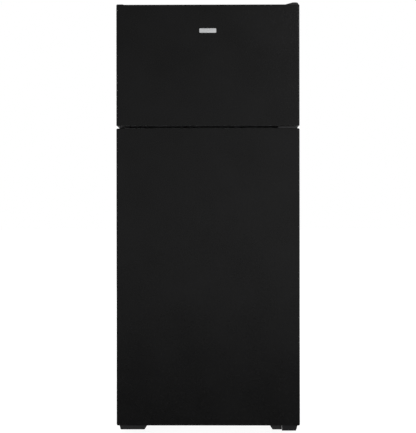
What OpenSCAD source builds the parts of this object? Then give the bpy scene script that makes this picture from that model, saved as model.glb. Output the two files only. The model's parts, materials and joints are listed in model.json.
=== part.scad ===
// Top freezer refrigerator: cabinet, two hinged doors, fittings and refrigeration parts.
// The front faces -Y, +Z is up, and the origin is on the floor under the middle of the object.

/* [Overall] */
// Width across the doors and the cabinet
width = 711; // [690:1:740]
// Depth from the nameplate's face to the ribs of the rear panel
depth = 765; // [745:1:800]
// Thickness of the painted steel sheet
sheet = 1.2; // [0.8:0.1:1.5]
// Thickness of the formed plastic walls
plastic = 2.5; // [2:0.1:3]
// Height of the cabinet's lower edge above the floor
cabinet_clearance = 30; // [28:1:32]

/* [Doors] */
// Height of the freezer door
freezer_door_h = 468; // [460:1:500]
// Height of the fresh-food door
fresh_door_h = 1150; // [1140:1:1200]
// Height of the fresh-food door's lower edge above the floor
door_clearance = 47; // [46:1:50]
// Gap between the two doors
door_gap = 11; // [11:1:14]
// Thickness of a door without its gasket
door_t = 58; // [56:1:62]
// Thickness of the door gasket
gasket_t = 12; // [11:1:14]
// Radius of the doors' upright front edges
door_edge_r = 6; // [3:1:10]
// Radius of the fresh-food door's corners, seen from the front
door_corner_r = 6; // [2:1:9]
// How far the inner dike of a door reaches into the cabinet from the door's back
dike_depth = 50; // [40:1:52]
// How far the fresh-food door's bins stand out from the door's back
fresh_bin_depth = 110; // [90:1:112]
// How far the freezer door's bins stand out from the door's back
freezer_bin_depth = 88; // [70:1:95]

/* [Insulated walls] */
// Wall thickness beside the fresh-food space
fresh_wall = 48; // [44:1:52]
// Wall thickness beside and above the freezer space
freezer_wall = 60; // [54:1:64]
// Height of the fresh-food floor
fresh_floor = 112; // [110:1:118]
// Depth of the machine compartment
machine_depth = 214; // [200:1:230]
// Height of the machine compartment's ceiling
machine_top = 280; // [270:1:290]

/* [Fittings] */
// Height of the freezer shelf above the freezer floor
freezer_shelf_h = 190; // [160:5:220]
// Height of the crisper cover above the fresh-food floor
crisper_h = 190; // [180:1:200]
// Height of the lower glass shelf above the fresh-food floor
lower_shelf_h = 440; // [400:5:480]
// Height of the upper glass shelf above the fresh-food floor
upper_shelf_h = 710; // [680:5:740]
// Width of the nameplate
nameplate_w = 65; // [50:1:80]
// Height of the nameplate
nameplate_h = 17; // [12:1:22]
// Radius of the rear rollers
roller_r = 21; // [20:1:22]

/* [Hidden] */
$fn = 48;

black_paint = "#1b1b1c";
black_plastic = "#202022";
white_plastic = "#e9ebec";
clear_plastic = "#cfdde3";
zinc = "#9a9c9e";

// Planes and heights
eps = 0.01;
half_w = width / 2;
plate_proud = 2;
door_front = -depth / 2 + plate_proud;
door_back = door_front + door_t;
cab_front = door_back + gasket_t;
rib_proud = 3.5;
panel_back = depth / 2 - rib_proud;
panel_front = panel_back - sheet;
fresh_z = [door_clearance, door_clearance + fresh_door_h];
freezer_z = [fresh_z[1] + door_gap, fresh_z[1] + door_gap + freezer_door_h];
seam_z = (fresh_z[1] + freezer_z[0]) / 2;
cab_top = freezer_z[1] - 4;
cab_bottom = cabinet_clearance;
shell_r = 5;
flange_w = 22;

// Hinge axis of both doors
axis_x = half_w - 16;
axis_y = door_front + 30;
pin_r = 4;
run = 0.05;

// Spaces inside the liners, as [low, high] along each axis
mullion_half = 21;
fresh_half = half_w - fresh_wall;
freezer_half = half_w - freezer_wall;
fresh_top = seam_z - 28;
freezer_bottom = seam_z + 30;
freezer_top = cab_top - 50;
freezer_back = panel_front - 76;
fresh_back = panel_front - 58;
pan_z = fresh_floor - 50;
machine_front = panel_back - machine_depth;
lower_back = machine_front - 30;
step_z = machine_top + 35;
liner_r = 20;
liner_flange_x = half_w - flange_w - 0.3;

// Door dikes, trim and storage
dike_w = 28;
dike_half = half_w - 63.5;
cap_t = 14;
gasket_inset = 18;
gasket_w = 20;
freezer_gasket_z = [freezer_z[0] + 6, cab_top - 8];
fresh_gasket_z = [fresh_floor - 20, fresh_z[1] - 6];
freezer_dike_z = [freezer_bottom + 12, freezer_top - 12];
fresh_dike_z = [fresh_floor + 10, fresh_top - 10];
bin_half = dike_half - dike_w - 1.8;
freezer_grip_z = [freezer_z[0] + 25, freezer_z[0] + 245];
fresh_grip_z = [fresh_z[1] - 345, fresh_z[1] - 25];
grip_y = [door_front + 14, door_front + 46];
grip_depth = 24;

// Dairy box and its flap
dairy_x = [-bin_half + 1, -10];
dairy_z = [fresh_dike_z[1] - 120, fresh_dike_z[1] - 35];
dairy_depth = 88;
flap_y = door_back + dairy_depth + 3;
flap_z = dairy_z[1] + 7;
flap_pin_r = 3;

// Fittings in the cabinet
evap_cover_y = 185;
evap_fan_z = freezer_bottom + 298;
evap_fan_r = 50;
evap_fan_y = evap_cover_y + 24;
coil_x = 225;
duct_y = [250, 292];
duct_half = 42;
control_y = [-80, 80];
control_z = [fresh_top - 57, fresh_top - 0.5];
knob_x = 75;
knob_z = control_z[0] + 27;
knob_r = 21;
switch_x = -250;
switch_z = fresh_dike_z[1] - 8;
plunger_tip = door_back + dike_depth + 0.6;
crisper_front = -130;
crisper_z = [fresh_floor + 5, fresh_floor + crisper_h - 8];
crisper_wall = 2.5;
shelf_front = -190;
drain_x = 0;
drain_y = panel_front - 34;
drain_r = 8;

// Base and machine compartment
rail_w = 50;
rail_x = half_w - sheet - 0.3;
foot_x = half_w - 36;
left_foot_y = door_front + 115;
right_foot_y = door_front + 92;
stud_r = 5;
roller_x = half_w - 30;
roller_y = panel_front - 48;
roller_w = 14;
axle_r = 4;
ear_t = 3;
deck_z = cab_bottom + 2;
comp_at = [205, machine_front + 105];
comp_r = 78;
cfan_x = 62;
cfan_y = machine_front + 106;
cfan_z = 150;
cfan_r = 78;
shroud_x = 34;
rear_cover_z = [cab_bottom + 6, machine_top - 2];

// ---------------------------------------------------------------- helpers

// Box between two limits along each axis
module span(x, y, z) {
    translate([x[0], y[0], z[0]]) cube([x[1] - x[0], y[1] - y[0], z[1] - z[0]]);
}

// Rectangle with round corners, its lower left corner at the origin
module round_rect(w, h, r) {
    translate([r, 0]) square([w - 2 * r, h]);
    translate([0, r]) square([w, h - 2 * r]);
    for (x = [r, w - r], y = [r, h - r]) translate([x, y]) circle(r);
}

// Box between limits, with the four edges along one axis rounded
module round_span(x, y, z, r, along) {
    dx = x[1] - x[0];
    dy = y[1] - y[0];
    dz = z[1] - z[0];
    if (along == "x") translate([x[0], y[0], z[0]]) rotate([90, 0, 90]) linear_extrude(dx) round_rect(dy, dz, r);
    if (along == "y") translate([x[0], y[1], z[0]]) rotate([90, 0, 0]) linear_extrude(dy) round_rect(dx, dz, r);
    if (along == "z") translate([x[0], y[0], z[0]]) linear_extrude(dz) round_rect(dx, dy, r);
}

// Round bar from a point, of length h along an axis
module rod(at, r, h, along) {
    turn = along == "x" ? [0, 90, 0] : along == "y" ? [-90, 0, 0] : [0, 0, 0];
    translate(at) rotate(turn) cylinder(r = r, h = h);
}

// A half ring of tube that joins two parallel straight passes
module return_bend(at, bend_r, r, turn) {
    translate(at) rotate(turn) rotate_extrude(angle = 180) translate([bend_r, 0]) circle(r, $fn = 24);
}

// Open-topped tub with walls of thickness t
module tub(x, y, z, t, r) {
    difference() {
        round_span(x, y, z, r, "z");
        round_span([x[0] + t, x[1] - t], [y[0] + t, y[1] - t], [z[0] + t, z[1] + 1], max(r - t, 0.5), "z");
    }
}

// ---------------------------------------------------------------- cabinet

// Front view of the wrapper's top and sides, inset from its outer face
module wrap_outline(inset) {
    r = shell_r - inset;
    w = width - 2 * inset;
    top = cab_top - inset;
    translate([-w / 2, cab_bottom]) square([w, top - r - cab_bottom]);
    translate([-w / 2 + r, cab_bottom]) square([w - 2 * r, top - cab_bottom]);
    for (s = [-1, 1]) translate([s * (w / 2 - r), top - r]) circle(r);
}

// Wrapper outline made solid between two depths
module wrap_solid(inset, y) {
    translate([0, y[1], 0]) rotate([90, 0, 0]) linear_extrude(y[1] - y[0]) wrap_outline(inset);
}

module outer_shell() {
    color(black_paint) difference() {
        wrap_solid(0, [cab_front, panel_front]);
        translate([0, 0, -eps]) difference() {
            wrap_solid(sheet, [cab_front + sheet, panel_front - sheet]);
            span([-half_w, half_w], [cab_front, panel_front], [cab_bottom - 1, cab_bottom]);
        }
        span([-half_w + sheet, half_w - sheet], [cab_front + sheet, panel_front - sheet],
             [cab_bottom - 1, cab_bottom + 1]);
        span([-half_w + flange_w, half_w - flange_w], [cab_front - 1, cab_front + 2 * sheet],
             [cab_bottom - 1, cab_top - flange_w]);
        span([-half_w + 12, half_w - 12], [panel_front - 2 * sheet, panel_front + 1],
             [cab_bottom - 1, cab_top - 12]);
        for (p = top_screws) rod([p[0], p[1], cab_top - 6], 2.05, 12, "z");
    }
}

module rear_panel() {
    z = [machine_top + 1, cab_top - 3];
    color(zinc) difference() {
        union() {
            span([-half_w + 1.5, half_w - 1.5], [panel_front + 0.05, panel_back], z);
            for (x = [-220, 0, 220])
                round_span([x - 14, x + 14], [panel_back - 0.5, depth / 2], [z[0] + 90, z[1] - 90], 13.9, "y");
            for (edge = [z[0] + 30, z[1] - 50])
                round_span([-half_w + 60, half_w - 60], [panel_back - 0.5, depth / 2], [edge, edge + 20], 9.9, "y");
        }
        for (p = rear_screws) rod([p[0], panel_front - 1, p[1]], 2.05, 6, "y");
    }
}

// Rail along one side of the base, an inward-facing channel
module base_rail(side) {
    x = side > 0 ? [rail_x - rail_w, rail_x] : [-rail_x, -rail_x + rail_w];
    inner = side > 0 ? [x[0] - 1, x[1] - 2] : [x[0] + 2, x[1] + 1];
    difference() {
        span(x, [cab_front + 4, panel_front - 2], [cab_bottom, pan_z]);
        span(inner, [cab_front + 3, panel_front], [cab_bottom + 2, pan_z - 2]);
    }
}

// Two ears that hold one rear roller's axle
module roller_ears(side) {
    for (s = [-1, 1]) {
        x = side * roller_x + s * (roller_w / 2 + 1.5 + ear_t / 2);
        difference() {
            round_span([x - ear_t / 2, x + ear_t / 2], [roller_y - 16, roller_y + 16],
                       [roller_r - 12, pan_z - 1], 8, "x");
            rod([x - ear_t, roller_y, roller_r], axle_r + 0.02, 2 * ear_t, "x");
        }
    }
}

module base_pan() {
    color(zinc) difference() {
        union() {
            for (side = [-1, 1]) {
                base_rail(side);
                roller_ears(side);
            }
            span([-rail_x, rail_x], [cab_front + 4, machine_front + sheet], [pan_z - sheet, pan_z]);
            span([-rail_x, rail_x], [machine_front, machine_front + sheet], [pan_z - sheet, machine_top]);
            span([-rail_x, rail_x], [machine_front, panel_front - sheet], [machine_top - sheet, machine_top]);
            span([-rail_x + 2, rail_x - 2], [machine_front + 24, panel_front - 14], [cab_bottom, deck_z]);
        }
        for (side = [-1, 1])
            span([side * roller_x - roller_w / 2 - 1.5, side * roller_x + roller_w / 2 + 1.5],
                 [roller_y - roller_r - 2, roller_y + roller_r + 2], [cab_bottom - 1, pan_z - 4]);
        rod([-foot_x, left_foot_y, 0], stud_r + run, pan_z - 4, "z");
        rod([foot_x, right_foot_y, 0], stud_r + run, pan_z - 4, "z");
        rod([drain_x, drain_y, 0], drain_r + 0.5, machine_top + 5, "z");
        for (p = base_screws) rod([p[0], p[1], 20], 2.05, 13, "z");
        for (p = comp_studs) rod([p[0], p[1], 20], 3.05, 20, "z");
    }
}

// Outer volume of each liner, thickened by t
module freezer_volume(t) {
    round_span([-freezer_half - t, freezer_half + t], [cab_front - (t > 0 ? 0 : 1), freezer_back + t],
               [freezer_bottom - t, freezer_top + t], liner_r + t, "y");
}

module fresh_volume(t) {
    front = cab_front - (t > 0 ? 0 : 1);
    round_span([-fresh_half - t, fresh_half + t], [front, lower_back + t], [fresh_floor - t, fresh_top + t],
               liner_r + t, "y");
    round_span([-fresh_half - t, fresh_half + t], [front, fresh_back + t], [step_z - t, fresh_top + t],
               liner_r + t, "y");
}

module duct_hole(gap) {
    span([-duct_half - gap, duct_half + gap], [duct_y[0] - gap, duct_y[1] + gap],
         [fresh_top - 10, freezer_bottom + 10]);
}

module drain_hole(gap) {
    rod([drain_x, drain_y, machine_top - 5], drain_r + gap, freezer_bottom + 20 - machine_top, "z");
    rod([drain_x, freezer_back - 5, freezer_bottom + 12], drain_r + gap, drain_y - freezer_back + 15, "y");
}

module cabinet_foam() {
    color("#e8dca8") difference() {
        wrap_solid(sheet + 0.05, [cab_front + 3, panel_front - sheet - 0.1]);
        span([-half_w, half_w], [cab_front, panel_back], [0, pan_z + 0.05]);
        span([-half_w, half_w], [machine_front - 0.05, panel_back], [0, machine_top + 0.05]);
        freezer_volume(plastic + 0.05);
        fresh_volume(plastic + 0.05);
        duct_hole(0.1);
        drain_hole(0.1);
        for (p = top_screws) rod([p[0], p[1], cab_top - 6], 2.2, 12, "z");
    }
}

// Moulded ledges on both side walls, under a shelf
module ledges(half, y, z) {
    for (s = [-1, 1])
        span(s > 0 ? [half - 6, half + 0.5] : [-half - 0.5, -half + 6], y, [z - 12, z]);
}

module freezer_liner() {
    color(white_plastic) difference() {
        union() {
            difference() {
                union() {
                    freezer_volume(plastic);
                    span([-liner_flange_x, liner_flange_x], [cab_front, cab_front + plastic],
                         [seam_z + mullion_half + 0.3, cab_top - flange_w - 0.3]);
                }
                freezer_volume(0);
            }
            ledges(freezer_half, [-205, 170], freezer_bottom + freezer_shelf_h);
        }
        duct_hole(0.1);
        drain_hole(0.1);
    }
}

module fresh_food_liner() {
    color(white_plastic) difference() {
        union() {
            difference() {
                union() {
                    fresh_volume(plastic);
                    span([-liner_flange_x, liner_flange_x], [cab_front, cab_front + plastic],
                         [pan_z + 4, seam_z - mullion_half - 0.3]);
                }
                fresh_volume(0);
            }
            ledges(fresh_half, [-165, 125], fresh_floor + crisper_h - 0.3);
            for (h = [lower_shelf_h, upper_shelf_h]) ledges(fresh_half, [-180, 300], fresh_floor + h - 0.3);
        }
        duct_hole(0.1);
    }
}

module mullion_bar() {
    color(black_paint) difference() {
        span([-liner_flange_x, liner_flange_x], [cab_front, cab_front + sheet],
             [seam_z - mullion_half, seam_z + mullion_half]);
        for (p = middle_screws) rod([p[0], cab_front - 1, p[1]], 2.05, 4, "y");
    }
    // Plug over the left-hand hinge holes
    color(black_plastic)
        round_span([-half_w + 2, -half_w + 32], [cab_front - 9, cab_front - 0.05], [seam_z - 4, seam_z + 4], 2, "y");
}

// Base grille: slotted panel between the feet with a lowered lobe at each end
module base_grille() {
    top = fresh_floor - 28;
    low = 24;
    lobe_low = 8;
    edge = half_w - 1.5;
    lobe_in = half_w - 111;
    y = [door_back + 5, cab_front - 0.5];
    color(black_plastic) difference() {
        translate([0, y[1], 0]) rotate([90, 0, 0]) linear_extrude(y[1] - y[0]) polygon([
            [-edge, top], [-edge, low], [-edge + 4, lobe_low], [-lobe_in - 10, lobe_low], [-lobe_in, low],
            [lobe_in, low], [lobe_in + 10, lobe_low], [edge - 4, lobe_low], [edge, low], [edge, top]
        ]);
        span([-edge + 2.5, edge - 2.5], [y[0] + 2.5, y[1] + 1], [low + 2.5, top - 2.5]);
        for (row = [0 : 2], i = [-8 : 8])
            round_span([i * 27 - 10, i * 27 + 10], [y[0] - 1, y[1]], [36 + row * 14, 42 + row * 14], 2.9, "y");
        span([bracket_x[0] - 1.5, bracket_x[1] + 1.5], [y[0] - 1, y[1] + 1], [0, 48]);
    }
}

// ---------------------------------------------------------------- hinges and fixings

bracket_x = [half_w - 64, half_w - 8];
middle_x = [half_w - 86, half_w - 7];
top_plate_x = [half_w - 38, half_w - 7];
top_screws = [for (dy = [40, 80]) [half_w - 22, cab_front + dy]];
middle_screws = [for (dx = [16, 44]) [middle_x[0] + dx, seam_z]];
base_screws = [for (dx = [10, 46]) [bracket_x[0] + dx, cab_front + 44]];
rear_screws = [for (x = [-half_w + 8, half_w - 8], z = [machine_top + 60, 760, 1220, cab_top - 40]) [x, z]];
cover_screws = [for (x = [-half_w + 12, 0, half_w - 12], z = [rear_cover_z[0] + 8, rear_cover_z[1] - 8])
                if (x != 0 || z > 100) [x, z]];
comp_studs = [for (dx = [-78, 78], dy = [-62, 62]) [comp_at[0] + dx, comp_at[1] + dy]];

module top_hinge() {
    z = freezer_z[1] + 3;
    color(zinc) difference() {
        union() {
            round_span(top_plate_x, [door_front + 16, cab_front + 100], [z, z + 4], 8, "z");
            span([top_plate_x[0] + 4, top_plate_x[1] - 4], [cab_front + 6, cab_front + 96], [cab_top + 0.02, z]);
        }
        rod([axis_x, axis_y, z - 1], pin_r + 0.02, 10, "z");
        for (p = top_screws) rod([p[0], p[1], cab_top - 6], 2.05, 30, "z");
    }
}

// Side profile of the hinge cover seen from the front, measured from its base line
module cover_profile(t) {
    rise = 11.4;
    x0 = half_w - 76;
    x1 = half_w - 2.5;
    polygon([
        [x0 + t, -1], [x0 + t, 2 - t], [x0 + 20, 3 - t], [x0 + 51, rise - t], [x1 - 9, rise - t],
        for (a = [60 : -15 : 0]) [x1 - 9 + (9 - t) * cos(a), rise - 9 + (9 - t) * sin(a)],
        [x1 - t, -1]
    ]);
}

module top_hinge_cover() {
    z = freezer_z[1] + 1;
    y = [door_front + 12, cab_front + 108];
    color(black_plastic) intersection() {
        difference() {
            translate([0, y[1], z]) rotate([90, 0, 0]) linear_extrude(y[1] - y[0]) cover_profile(0);
            translate([0, y[1] - 2, z]) rotate([90, 0, 0]) linear_extrude(y[1] - y[0] - 4) cover_profile(2);
        }
        round_span([half_w - 90, half_w], y, [z, z + 20], 6, "z");
    }
}

module middle_hinge() {
    color(zinc) difference() {
        union() {
            round_span(middle_x, [door_front + 8, cab_front - 0.5], [seam_z - 2, seam_z + 2], 5, "z");
            span(middle_x, [cab_front - 3.05, cab_front - 0.05], [seam_z - 10.5, seam_z + 10.5]);
            span([middle_x[0] + 5, middle_x[1] - 5], [door_front + 8, door_front + 12], [seam_z - 3.3, seam_z + 3.3]);
        }
        rod([axis_x, axis_y, seam_z - 5], pin_r + 0.02, 10, "z");
        for (p = middle_screws) {
            rod([p[0], cab_front - 5, p[1]], 2.05, 6, "y");
            rod([p[0], cab_front - 6, p[1]], screw_head_r + 0.4, 2.95, "y");
        }
    }
}

module bottom_hinge() {
    z = door_clearance - 3;
    color(zinc) difference() {
        union() {
            span(bracket_x, [door_front + 57, door_front + 60.5], [5.6, z]);
            round_span([bracket_x[0], half_w - 4], [door_front + 18, door_front + 60.5], [z - 4, z], 8, "z");
            span(bracket_x, [door_front + 57, cab_front + 55], [cab_bottom - 4, cab_bottom - 0.05]);
        }
        rod([axis_x, axis_y, z - 6], pin_r + 0.02, 10, "z");
        rod([foot_x, right_foot_y, 0], stud_r + run, pan_z - 4, "z");
        for (p = base_screws) rod([p[0], p[1], 20], 2.05, 13, "z");
    }
}

// Hinge pins of both doors and the axles of the rear rollers
module pins() {
    color(zinc) {
        rod([axis_x, axis_y, freezer_z[1] - 15], pin_r, 24, "z");
        rod([axis_x, axis_y, fresh_z[1] - 15], pin_r, door_gap + 30, "z");
        rod([axis_x, axis_y, door_clearance - 8], pin_r, 23, "z");
        for (s = [-1, 1]) {
            w = roller_w + 2 * ear_t + 8;
            rod([s * roller_x - w / 2, roller_y, roller_r], axle_r, w, "x");
        }
    }
}

screw_head_r = 4.2;

// Pan-head screw with its head outside and its shank along the turned axis
module screw(at, turn, shank) {
    translate(at) rotate(turn) difference() {
        union() {
            cylinder(r = screw_head_r, h = 2.2);
            translate([0, 0, -shank]) cylinder(r = 2, h = shank + 1);
        }
        translate([0, 0, 1.2]) for (a = [0, 90]) rotate([0, 0, a]) translate([-2.2, -0.45, 0]) cube([4.4, 0.9, 2]);
    }
}

module screws() {
    color(zinc) {
        for (p = top_screws) screw([p[0], p[1], freezer_z[1] + 7.02], [0, 0, 0], 12);
        for (p = middle_screws) screw([p[0], cab_front - 3.07, p[1]], [90, 0, 0], 3.4);
        for (p = base_screws) screw([p[0], p[1], cab_bottom - 4.02], [180, 0, 0], 5.8);
        for (p = rear_screws) screw([p[0], panel_back + 0.02, p[1]], [-90, 0, 0], 1.1);
        for (p = cover_screws) screw([p[0], panel_back + 0.02, p[1]], [-90, 0, 0], 1.1);
    }
}

// ---------------------------------------------------------------- freezer fittings

module freezer_shelf() {
    z = freezer_bottom + freezer_shelf_h + 3.1;
    x = freezer_half - 4;
    y = [-205, 170];
    pitch = 2 * (x - 12) / 22;
    color("white") union() {
        for (s = [-1, 1]) rod([s * (x - 3), y[0], z], 3, y[1] - y[0], "y");
        for (end = [y[0] + 3, 0, y[1] - 3]) rod([-x, end, z], 3, 2 * x, "x");
        rod([-x + 3, y[0] + 3, z + 14], 2.5, 2 * x - 6, "x");
        for (s = [-1, 1]) rod([s * (x - 3), y[0] + 3, z], 2.5, 14, "z");
        for (i = [0 : 22]) rod([-x + 12 + i * pitch, y[0] + 3, z + 2.5], 1.5, y[1] - y[0] - 6, "y");
    }
}

module evaporator_cover() {
    y = [evap_cover_y, evap_cover_y + 3];
    x = freezer_half - 0.5;
    color(white_plastic) difference() {
        union() {
            round_span([-x, x], y, [freezer_bottom + 0.5, freezer_top - 0.5], liner_r, "y");
            translate([0, y[0] + 1, evap_fan_z]) rotate([90, 0, 0]) cylinder(r = 68, h = 5);
            round_span([-x + 40, x - 40], [y[0] - 4, y[0] + 1], [freezer_bottom + 14, freezer_bottom + 64], 8, "y");
        }
        for (i = [-5 : 5]) {
            z = evap_fan_z + i * 10;
            half = sqrt(56 * 56 - i * i * 100);
            round_span([-half, half], [y[0] - 10, y[1] + 1], [z - 3, z + 3], 2.9, "y");
        }
        for (i = [-11 : 11])
            round_span([i * 18 - 3, i * 18 + 3], [y[0] - 10, y[1] + 1], [freezer_bottom + 22, freezer_bottom + 56],
                       2.9, "y");
    }
}

module evaporator_coil() {
    rows = [evap_cover_y + 32, evap_cover_y + 60];
    first = freezer_bottom + 48;
    pitch = 30;
    color("silver") union() {
        for (i = [0 : 23]) {
            x = -coil_x + 18 + i * (2 * coil_x - 36) / 23;
            span([x - 0.6, x + 0.6], [rows[0] - 12, rows[1] + 12], [first - 13, first + 5 * pitch + 13]);
        }
        for (y = rows, k = [0 : 5]) rod([-coil_x, y, first + k * pitch], 4, 2 * coil_x, "x");
        for (y = rows, k = [0 : 2 : 4])
            return_bend([coil_x - eps, y, first + (k + 0.5) * pitch], pitch / 2, 4, [90, 90, 0]);
        for (y = rows, k = [1 : 2 : 3])
            return_bend([-coil_x + eps, y, first + (k + 0.5) * pitch], pitch / 2, 4, [90, -90, 0]);
        return_bend([-coil_x + eps, (rows[0] + rows[1]) / 2, first], (rows[1] - rows[0]) / 2, 4, [0, 0, 90]);
    }
}

// Motor can with a shaft along an axis, the shaft end at the fan's hub
module fan_motor(r, h) {
    cylinder(r = r, h = h);
    translate([0, 0, h - eps]) cylinder(r = r * 0.5, h = 1.5);
    translate([0, 0, h]) cylinder(r = 2.5, h = 12);
}

module fan_motors() {
    color("#55585a") {
        translate([0, evap_fan_y + 31, evap_fan_z]) rotate([90, 0, 0]) fan_motor(24, 20);
        span([-70, 70], [evap_fan_y + 31, evap_fan_y + 34], [evap_fan_z - 12, evap_fan_z + 12]);
        translate([cfan_x + 52, cfan_y, cfan_z]) rotate([0, -90, 0]) fan_motor(30, 38);
        difference() {
            span([cfan_x + 52, cfan_x + 55], [cfan_y - 90, cfan_y + 90], [cfan_z - 12, cfan_z + 12]);
            rod([cfan_x + 51, cfan_y, cfan_z], 6, 6, "x");
        }
    }
}

module defrost_heater() {
    z = freezer_bottom + 22;
    y = evap_cover_y + 46;
    color("#b9a58a") {
        rod([-coil_x + 5, y, z], 4.5, 2 * coil_x - 10, "x");
        for (s = [-1, 1]) rod([s * (coil_x - 5) - 8, y, z], 7.5, 16, "x");
    }
}

module drain_trough() {
    z = freezer_bottom + 1;
    y = [evap_cover_y + 10, duct_y[0] - 2];
    outlet_z = freezer_bottom + 12;
    low = 84;
    bore = drain_r - 2;
    color(zinc) difference() {
        union() {
            span([-coil_x, coil_x], y, [z, z + 10]);
            rod([drain_x, y[1] - 4, outlet_z], drain_r, drain_y - y[1] + 4, "y");
            rod([drain_x, drain_y, low], drain_r, outlet_z + 2 - low, "z");
        }
        span([-coil_x + 1.5, coil_x - 1.5], [y[0] + 1.5, y[1] - 1.5], [z + 1.5, z + 30]);
        rod([drain_x, y[1] - 6, outlet_z], bore, drain_y - y[1] + 6, "y");
        rod([drain_x, drain_y, low - 1], bore, outlet_z + 1 - low, "z");
    }
}

// A fan with a hub and pitched blades, about the local z axis
module fan_rotor(r, blades, depth_z, pitch) {
    difference() {
        union() {
            cylinder(r = r * 0.26, h = depth_z);
            intersection() {
                cylinder(r = r, h = depth_z);
                for (i = [0 : blades - 1])
                    rotate([0, 0, i * 360 / blades]) translate([r * 0.1, 0, depth_z / 2]) rotate([pitch, 0, 0])
                        translate([0, -r * 0.34, -1]) cube([r, r * 0.68, 2]);
            }
        }
        translate([0, 0, -1]) cylinder(r = 2.5 + run, h = depth_z + 2);
    }
}

module evaporator_fan() {
    color(white_plastic) translate([0, evap_fan_y + 9, evap_fan_z]) rotate([90, 0, 0])
        fan_rotor(evap_fan_r, 4, 16, 32);
}

module condenser_fan() {
    color("#3a3c3e") translate([cfan_x + 12, cfan_y, cfan_z]) rotate([0, -90, 0]) fan_rotor(cfan_r, 5, 22, 30);
}

// ---------------------------------------------------------------- fresh-food fittings

shelf_half = fresh_half - 2.5;
pane_half = shelf_half - 14;
shelf_list = [
    [fresh_floor + crisper_h, [-175, lower_back - 4]],
    [fresh_floor + lower_shelf_h, [shelf_front, fresh_back - 6]],
    [fresh_floor + upper_shelf_h, [shelf_front, fresh_back - 6]]
];

module shelf_frame(z, y) {
    difference() {
        round_span([-shelf_half, shelf_half], y, [z, z + 15], 6, "z");
        span([-pane_half + 8, pane_half - 8], [y[0] + 24, y[1] - 20], [z - 1, z + 20]);
        span([-pane_half - 0.3, pane_half + 0.3], [y[0] + 15.7, y[1] - 11.7], [z + 9, z + 20]);
    }
}

module shelf_frames() {
    color(white_plastic) {
        for (s = shelf_list) shelf_frame(s[0], s[1]);
        span([-3, 3], [crisper_front + 10, lower_back - 8], [fresh_floor + 40, fresh_floor + crisper_h - 0.05]);
    }
}

module shelf_glass() {
    color([0.75, 0.86, 0.84, 0.5]) for (s = shelf_list)
        span([-pane_half, pane_half], [s[1][0] + 16, s[1][1] - 12], [s[0] + 9.05, s[0] + 13]);
}

// One crisper drawer with a full-width pull along its front rim
module crisper(x) {
    y = [crisper_front, lower_back - 8];
    color(clear_plastic) union() {
        tub(x, y, crisper_z, crisper_wall, 10);
        difference() {
            round_span([x[0] + 8, x[1] - 8], [y[0] - 12, y[0] + 1.5], [crisper_z[1] - 30, crisper_z[1]], 4, "x");
            span([x[0] + 20, x[1] - 20], [y[0] - 9, y[0] + 0.2], [crisper_z[1] - 31, crisper_z[1] - 4]);
        }
    }
}

module left_crisper() { crisper([-fresh_half + 8, -6]); }
module right_crisper() { crisper([6, fresh_half - 8]); }

module control_housing() {
    x = 160;
    color(white_plastic) difference() {
        round_span([-x, x], control_y, control_z, 10, "x");
        span([-x + plastic, x - plastic], [control_y[0] + plastic, control_y[1] - plastic],
             [control_z[0] + plastic, control_z[1] - plastic]);
        for (s = [-1, 1]) rod([s * knob_x, control_y[0] - 1, knob_z], 3 + run, 6, "y");
        span([-65, 65], [-35, 60], [control_z[0] - 1, control_z[0] + 5]);
    }
}

module light_shield() {
    color([0.95, 0.95, 0.92, 0.8]) difference() {
        round_span([-64.5, 64.5], [-34.5, 59.5], [control_z[0] - 10, control_z[0] + 2.3], 8, "z");
        round_span([-62.5, 62.5], [-32.5, 57.5], [control_z[0] - 8, control_z[0] + 3], 6, "z");
        for (i = [-5 : 5])
            span([i * 10 - 2, i * 10 + 2], [-20, 45], [control_z[0] - 11, control_z[0] - 7]);
    }
}

module lamp() {
    z = control_z[0] + 24;
    color("ivory") {
        rod([0, 50, z], 14, 20, "y");
        rod([0, 46, z], 11, 4.2, "y");
    }
    color([1, 0.98, 0.9]) translate([0, 4, z]) rotate([-90, 0, 0]) rotate_extrude() difference() {
        union() {
            translate([0, 14]) circle(14);
            translate([0, 14]) square([11, 28]);
        }
        translate([-20, -20]) square([20, 80]);
    }
}

module light_switch() {
    color(white_plastic) difference() {
        round_span([switch_x - 13, switch_x + 13], [plunger_tip + 8, plunger_tip + 40],
                   [switch_z - 9, fresh_top - 0.5], 3, "y");
        rod([switch_x, plunger_tip, switch_z], 4 + run, 30, "y");
    }
}

module switch_plunger() {
    color("white") rod([switch_x, plunger_tip, switch_z], 4, 21, "y");
}

// Temperature knob on a shaft that turns in the control housing
module knob(x) {
    face = control_y[0] - 1;
    difference() {
        union() {
            rod([x, face - 14, knob_z], knob_r, 14, "y");
            rod([x, face - 1, knob_z], 3, 12, "y");
            round_span([x - 3.5, x + 3.5], [face - 20, face - 13], [knob_z - knob_r + 1, knob_z + knob_r - 1],
                       3, "y");
        }
        for (i = [0 : 17]) {
            a = i * 20;
            rod([x + (knob_r + 1.2) * cos(a), face - 15, knob_z + (knob_r + 1.2) * sin(a)], 2.2, 12, "y");
        }
    }
}

module temperature_knob() { color(white_plastic) knob(knob_x); }
module freezer_knob() { color(white_plastic) knob(-knob_x); }

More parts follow.
